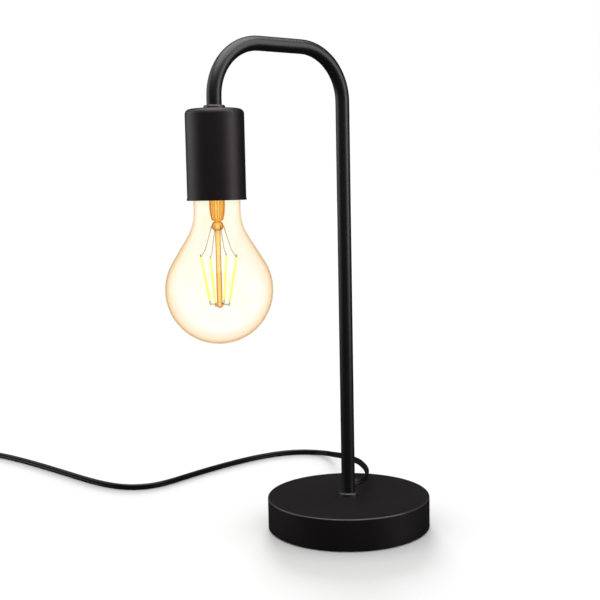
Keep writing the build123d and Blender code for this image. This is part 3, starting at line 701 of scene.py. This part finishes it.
def globe_outline(inset):
    belly = belly_radius - inset
    neck = neck_radius - inset
    blend = neck_blend + inset
    outer = belly + blend
    along = (neck + blend - outer * math.cos(cone_angle)) / math.sin(cone_angle)
    blend_z = belly_z + outer * math.sin(cone_angle) - along * math.cos(cone_angle)
    outline = arc((0.0, belly_z), belly, -math.pi / 2, cone_angle, belly_steps)
    outline += arc((neck + blend, blend_z), blend, math.pi + cone_angle, math.pi, neck_blend_steps)
    outline.append((neck, cap_bottom - neck_below_cap))
    outline.append((neck_end_radius - inset, cap_bottom))
    outline.append((neck_end_radius - inset, cap_bottom + neck_end_height))
    return outline


shell = globe_outline(0.0) + list(reversed(globe_outline(glass_wall)))
globe_glass = turned("globe_glass", shell)
wear(globe_glass, globe_finish)
print("globe:", round(2000 * belly_radius), "mm across, belly at", round(belly_z, 4))

# %% Outline of the glass mount
flare_radius = 0.0108
flare_length = 0.0065
flare_steps = 8
throat_radius = 0.0048
throat_length = 0.0127
throat_steps = 12
waist_radius = 0.0035
pinch_radius = 0.0016
pinch_drop = 0.001
bead_radius = 0.0038
bead_height = 0.0058
bead_steps = 12
rod_radius = 0.0018
rod_steps = 10
rod_tip_radius = 0.0024
rod_tip_steps = 10

throat_z = cap_bottom - flare_length
waist_z = throat_z - throat_length
pinch_z = waist_z - pinch_drop
bead_z = pinch_z - bead_height / 2
rod_top = pinch_z - bead_height
tip_z = stem_low.z + rod_tip_radius
rod_bottom = tip_z + math.sqrt(rod_tip_radius ** 2 - rod_radius ** 2)


def mount_outline():
    tip_start = math.asin((rod_bottom - tip_z) / rod_tip_radius)
    outline = [(0.0, cap_bottom), (flare_radius, cap_bottom)]
    for step in range(1, flare_steps + 1):
        share = step / flare_steps
        radius = throat_radius + (flare_radius - throat_radius) * (1 - share) ** 2
        outline.append((radius, cap_bottom - flare_length * share))
    for step in range(1, throat_steps + 1):
        share = step / throat_steps
        radius = throat_radius + (waist_radius - throat_radius) * share ** 3
        outline.append((radius, throat_z - throat_length * share))
    outline.append((pinch_radius, pinch_z))
    for step in range(1, bead_steps):
        angle = math.pi * step / bead_steps
        radius = rod_radius + (bead_radius - rod_radius) * math.sin(angle)
        outline.append((radius, bead_z + bead_height / 2 * math.cos(angle)))
    for step in range(rod_steps):
        outline.append((rod_radius, rod_top + (rod_bottom - rod_top) * step / rod_steps))
    outline += arc((0.0, tip_z), rod_tip_radius, tip_start, -math.pi / 2, rod_tip_steps)
    return outline


mount_line = list(reversed(mount_outline()))
print("mount:", len(mount_line), "points from the rod's tip to the flare")

# %% Drawn glass mount
flute_count = 8
flute_depth = 0.11


def flutes(angle, height):
    # The press leaves folds in the soft tube, which fade out in the flare. The rod below has none.
    if height <= pinch_z:
        return 1.0
    share = min(max((cap_bottom - height) / flare_length, 0.0), 1.0)
    return 1.0 + flute_depth * share * math.cos(flute_count * angle)


mount_glass = turned("mount_glass", mount_line, flutes)
wear(mount_glass, mount_finish)
print("mount: rod ends at", round(tip_z - rod_tip_radius, 4))

# %% [markdown]
# ## The light sticks
# Four slim sticks carry a row of tiny chips under yellow phosphor. They lean inwards from the leads at the
# bead to the links at the rod's tip, and a small metal tab holds each end. Sticks and tabs are rods that
# repeat round the bulb's axis, so one Geometry Nodes tree makes them all. Its inputs are the count, the
# first angle, the two ends, the axis, the radius and the finish of a rod.

# %% Stick finish
chip_size = 0.0012
chip_detail = 1.0
phosphor_glow = 0.9


def phosphor():
    finish = Finish("lit_phosphor")
    chips = finish.noise(chip_size, chip_detail)
    return finish.solid({
        "Base Color": (0.50, 0.42, 0.02, 1.0),
        "Roughness": 0.5,
        "Emission Color": finish.blend(chips, (1.0, 0.93, 0.16), (1.0, 0.99, 0.32)),
        "Emission Strength": phosphor_glow,
    })


stick_finish = phosphor()
print("stick finish made, glow", phosphor_glow)

# %% Helpers that plant a tree
def node_group(name, sizes):
    # A new tree with a geometry output and one input for each named size.
    group = bpy.data.node_groups.new(name, "GeometryNodeTree")
    group.interface.new_socket("Geometry", in_out="OUTPUT", socket_type="NodeSocketGeometry")
    for label, kind in sizes.items():
        group.interface.new_socket(label, in_out="INPUT", socket_type="NodeSocket" + kind)
    return group, group.nodes.new("NodeGroupInput"), group.nodes.new("NodeGroupOutput")


def planted(group, kind, sockets, settings=None):
    # A node of a tree, with its settings, and with its sockets linked or given a value.
    node = group.nodes.new(kind)
    for name, value in (settings or {}).items():
        setattr(node, name, value)
    for key, value in sockets.items():
        if isinstance(value, bpy.types.NodeSocket):
            group.links.new(value, node.inputs[key])
        else:
            node.inputs[key].default_value = value
    return node


def real_and_coated(group, instances, finish, result):
    # The end of a tree: real meshes in place of instances, with their finish on.
    real = planted(group, "GeometryNodeRealizeInstances", {"Geometry": instances})
    coat_of = {"Geometry": real.outputs["Geometry"], "Material": finish}
    coated = planted(group, "GeometryNodeSetMaterial", coat_of)
    group.links.new(coated.outputs["Geometry"], result.inputs["Geometry"])


# %% Grow a tree into a mesh
def grown(name, group, values):
    # Runs a tree with these input values on an empty mesh and keeps the result as a plain mesh.
    piece = bpy.data.objects.new(name, bpy.data.meshes.new(name))
    bpy.context.scene.collection.objects.link(piece)
    modifier = piece.modifiers.new(name, "NODES")
    modifier.node_group = group
    for item in group.interface.items_tree:
        if item.in_out == "INPUT":
            modifier[item.identifier] = values[item.name]
    bpy.context.view_layer.update()
    graph = bpy.context.evaluated_depsgraph_get()
    mesh = bpy.data.meshes.new_from_object(piece.evaluated_get(graph))
    piece.modifiers.clear()
    piece.data = mesh
    mesh.polygons.foreach_set("use_smooth", [True] * len(mesh.polygons))
    return piece


# %% Tree for a ring of rods
rod_sides = 20
rod_inputs = {
    "Count": "Int",
    "First angle": "Float",
    "Foot": "Vector",
    "Top": "Vector",
    "Axis": "Vector",
    "Radius": "Float",
    "Finish": "Material",
}


def rod_ring_tree():
    group, given, result = node_group("rod_ring", rod_inputs)
    size = given.outputs
    line = planted(group, "GeometryNodeCurvePrimitiveLine", {"Start": size["Foot"], "End": size["Top"]})
    round_rod = {"Resolution": rod_sides, "Radius": size["Radius"]}
    circle = planted(group, "GeometryNodeCurvePrimitiveCircle", round_rod)
    ends = {"Curve": line.outputs["Curve"], "Profile Curve": circle.outputs["Curve"], "Fill Caps": True}
    rod = planted(group, "GeometryNodeCurveToMesh", ends)
    spots = planted(group, "GeometryNodePoints", {"Count": size["Count"], "Position": size["Axis"]})
    step = planted(group, "ShaderNodeMath", {0: 2 * math.pi, 1: size["Count"]}, {"operation": "DIVIDE"})
    index = planted(group, "GeometryNodeInputIndex", {})
    turn = {0: index.outputs[0], 1: step.outputs[0], 2: size["First angle"]}
    angle = planted(group, "ShaderNodeMath", turn, {"operation": "MULTIPLY_ADD"})
    about = planted(group, "ShaderNodeCombineXYZ", {"Z": angle.outputs[0]})
    places = {"Points": spots.outputs[0], "Instance": rod.outputs["Mesh"], "Rotation": about.outputs[0]}
    ring = planted(group, "GeometryNodeInstanceOnPoints", places)
    real_and_coated(group, ring.outputs["Instances"], size["Finish"], result)
    return group


rod_ring = rod_ring_tree()
print("rod tree:", len(rod_ring.nodes), "nodes")

# %% Sticks and tabs
stick_count = 4
stick_radius = 0.0009
stick_top_reach = 0.0128
stick_top_drop = 0.0442
stick_foot_reach = 0.0073
stick_foot_drop = 0.0730
stick_first_angle = math.radians(32.7)
upper_tab_length = 0.0021
lower_tab_length = 0.0034
tab_radius = 0.0004

stick_top = Vector((stick_top_reach, 0.0, cap_bottom - stick_top_drop))
stick_foot = Vector((stick_foot_reach, 0.0, cap_bottom - stick_foot_drop))
stick_way = (stick_top - stick_foot).normalized()
tab_top = stick_top + stick_way * upper_tab_length
tab_foot = stick_foot - stick_way * lower_tab_length


def ring_of_rods(name, foot, top, radius, finish):
    return grown(name, rod_ring, {
        "Count": stick_count,
        "First angle": stick_first_angle,
        "Axis": (bulb_x, 0.0, 0.0),
        "Foot": tuple(foot),
        "Top": tuple(top),
        "Radius": radius,
        "Finish": finish,
    })


light_sticks = ring_of_rods("light_sticks", stick_foot, stick_top, stick_radius, stick_finish)
upper_tabs = ring_of_rods("upper_tabs", stick_top, tab_top, tab_radius, lead_wire)
lower_tabs = ring_of_rods("lower_tabs", tab_foot, stick_foot, tab_radius, lead_wire)
print("sticks:", len(light_sticks.data.polygons), "faces")

# %% [markdown]
# ## The plug's strain relief
# Where the cord enters the plug, the soft relief has ribs that let it bend. They are rings of growing size
# in a row, so a second tree sets one ring on each of a line of points and scales it.

# %% Tree for a row of ribs
hoop_steps = 40
rib_sides = 10
rib_share = 0.13
rib_inputs = {
    "Count": "Int",
    "Start": "Vector",
    "Step": "Vector",
    "Turn": "Vector",
    "First radius": "Float",
    "Radius step": "Float",
    "Finish": "Material",
}


def rib_row_tree():
    group, given, result = node_group("rib_row", rib_inputs)
    size = given.outputs
    hoop = planted(group, "GeometryNodeCurvePrimitiveCircle", {"Resolution": hoop_steps, "Radius": 1.0})
    round_rib = {"Resolution": rib_sides, "Radius": rib_share}
    circle = planted(group, "GeometryNodeCurvePrimitiveCircle", round_rib)
    sweep = {"Curve": hoop.outputs["Curve"], "Profile Curve": circle.outputs["Curve"]}
    rib = planted(group, "GeometryNodeCurveToMesh", sweep)
    index = planted(group, "GeometryNodeInputIndex", {})
    spot = {0: index.outputs[0], 1: size["Step"], 2: size["Start"]}
    place = planted(group, "ShaderNodeVectorMath", spot, {"operation": "MULTIPLY_ADD"})
    spots = planted(group, "GeometryNodePoints", {"Count": size["Count"], "Position": place.outputs[0]})
    growth = {0: index.outputs[0], 1: size["Radius step"], 2: size["First radius"]}
    radius = planted(group, "ShaderNodeMath", growth, {"operation": "MULTIPLY_ADD"})
    places = {"Points": spots.outputs[0], "Instance": rib.outputs["Mesh"], "Rotation": size["Turn"]}
    places["Scale"] = radius.outputs[0]
    row = planted(group, "GeometryNodeInstanceOnPoints", places)
    real_and_coated(group, row.outputs["Instances"], size["Finish"], result)
    return group


rib_row = rib_row_tree()
print("rib tree:", len(rib_row.nodes), "nodes")

# %% Ribs on the relief
relief_length = 0.020
relief_radius = 0.0035
relief_growth = 0.0015
rib_count = 5
rib_start = 0.0035
rib_step = 0.0030

relief_ribs = grown("relief_ribs", rib_row, {
    "Count": rib_count,
    "Start": tuple(plug_rear + plug_way * rib_start),
    "Step": tuple(plug_way * rib_step),
    "Turn": (0.0, math.pi / 2, plug_heading),
    "First radius": relief_radius + relief_growth * rib_start / relief_length,
    "Radius step": relief_growth * rib_step / relief_length,
    "Finish": casing,
})
print("ribs:", len(relief_ribs.data.polygons), "faces")

# %% [markdown]
# ## Floor and light
# The lamp stands on a plain white floor in an even white light. Black paint would mirror so bright a room
# as grey, so room and floor are darker for reflections. Two soft lamps at the sides and one above show only
# in reflections: they draw the pale bands along the cover and the tube. A low light from behind, which
# reflections leave out, draws the soft shadow in front of the base.

# %% Floor
floor_reach = 12.0
floor_tone = grey(0.97)
floor_mirrored_tone = grey(0.04)

floor_corners = [(x * floor_reach, y * floor_reach, 0.0) for x, y in ((-1, -1), (1, -1), (1, 1), (-1, 1))]
floor = mesh_piece("floor", floor_corners, [(0, 1, 2, 3)], smooth=False)
floor_finish = Finish("white_floor")
floor_ray = floor_finish.add("ShaderNodeLightPath", output="Is Glossy Ray")
pale = floor_finish.add("ShaderNodeBsdfDiffuse", sockets={"Color": (*floor_tone, 1.0)})
dim = floor_finish.add("ShaderNodeBsdfDiffuse", sockets={"Color": (*floor_mirrored_tone, 1.0)})
wear(floor, floor_finish.done(floor_finish.mix(floor_ray, pale, dim)))
print("floor:", round(2 * floor_reach), "m square")

# %% Room
room_strength = 0.82
room_mirrored_strength = 0.045
room_seen_strength = 1.0

room = bpy.data.worlds.new("room")
room.use_nodes = True
bpy.context.scene.world = room
room_nodes = room.node_tree.nodes
room_links = room.node_tree.links
room_nodes.clear()
room_ray = room_nodes.new("ShaderNodeLightPath")


def background(strength):
    node = room_nodes.new("ShaderNodeBackground")
    node.inputs["Strength"].default_value = strength
    node.inputs["Color"].default_value = (1.0, 1.0, 1.0, 1.0)
    return node.outputs[0]


def either(kind_of_ray, plain, special):
    node = room_nodes.new("ShaderNodeMixShader")
    room_links.new(room_ray.outputs[kind_of_ray], node.inputs[0])
    room_links.new(plain, node.inputs[1])
    room_links.new(special, node.inputs[2])
    return node.outputs[0]


room_light = either("Is Glossy Ray", background(room_strength), background(room_mirrored_strength))
room_light = either("Is Camera Ray", room_light, background(room_seen_strength))
room_links.new(room_light, room_nodes.new("ShaderNodeOutputWorld").inputs["Surface"])
print("room: lights at", room_strength, "and mirrors at", room_mirrored_strength)

# %% Soft lamps
lamp_aim = Vector((-0.05, 0.0, 0.19))


def soft_lamp(name, azimuth, distance, height, size, power):
    data = bpy.data.lights.new(name, "AREA")
    data.shape = "RECTANGLE"
    data.size, data.size_y = size
    data.energy = power
    angle = math.radians(azimuth)
    place = lamp_aim + Vector((distance * math.cos(angle), distance * math.sin(angle), height))
    turn = (lamp_aim - place).to_track_quat("-Z", "Y").to_matrix().to_4x4()
    lamp = bpy.data.objects.new(name, data)
    lamp.matrix_world = Matrix.Translation(place) @ turn
    lamp.visible_diffuse = False
    bpy.context.scene.collection.objects.link(lamp)


soft_lamp("left_softbox", azimuth=132.0, distance=1.3, height=0.35, size=(1.3, 1.6), power=11.0)
soft_lamp("right_softbox", azimuth=303.0, distance=1.3, height=0.35, size=(0.8, 1.6), power=15.5)
soft_lamp("top_softbox", azimuth=232.0, distance=0.3, height=1.5, size=(2.2, 2.2), power=75.0)
bpy.context.scene.view_settings.view_transform = "Standard"

# %% Back light
back_strength = 3.0
back_spread = math.radians(24.0)
back_tip = math.radians(-74.0)
back_turn = math.radians(-37.0)

back_light = bpy.data.lights.new("back_light", "SUN")
back_light.energy = back_strength
back_light.angle = back_spread
back_lamp = bpy.data.objects.new("back_light", back_light)
back_lamp.rotation_euler = (back_tip, 0.0, back_turn)
back_lamp.visible_glossy = False
bpy.context.scene.collection.objects.link(back_lamp)
print("back light:", round(90 + math.degrees(back_tip)), "degrees above the floor")

# %% [markdown]
# ## What rides on what
# Every new piece moves with a body of the frame. Where it covers a plain solid, it stands for that solid.
# The two lengths of cord end at the fittings.

# %% Bodies, replaced nodes and slots
pieces = [
    (cord_to_switch, "lamp", "cord", ["cord_run"]),
    (cord_to_plug, "lamp", "cord", ["cord_lead", "cord_coil", "cord_tail"]),
    (globe_glass, "bulb_glass", "amber_glass", ["bulb_globe"]),
    (mount_glass, "bulb_core", "mount_glass", ["bulb_stem"]),
    (light_sticks, "bulb_core", "filament", ["led_filaments"]),
    (upper_tabs, "bulb_core", "steel", []),
    (lower_tabs, "bulb_core", "steel", []),
    (relief_ribs, "lamp", "plug_black", []),
]
for piece, body, slot, stood_for in pieces:
    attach(piece, body)
    if stood_for:
        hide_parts(*stood_for)
print("riding:", len(pieces), "pieces")
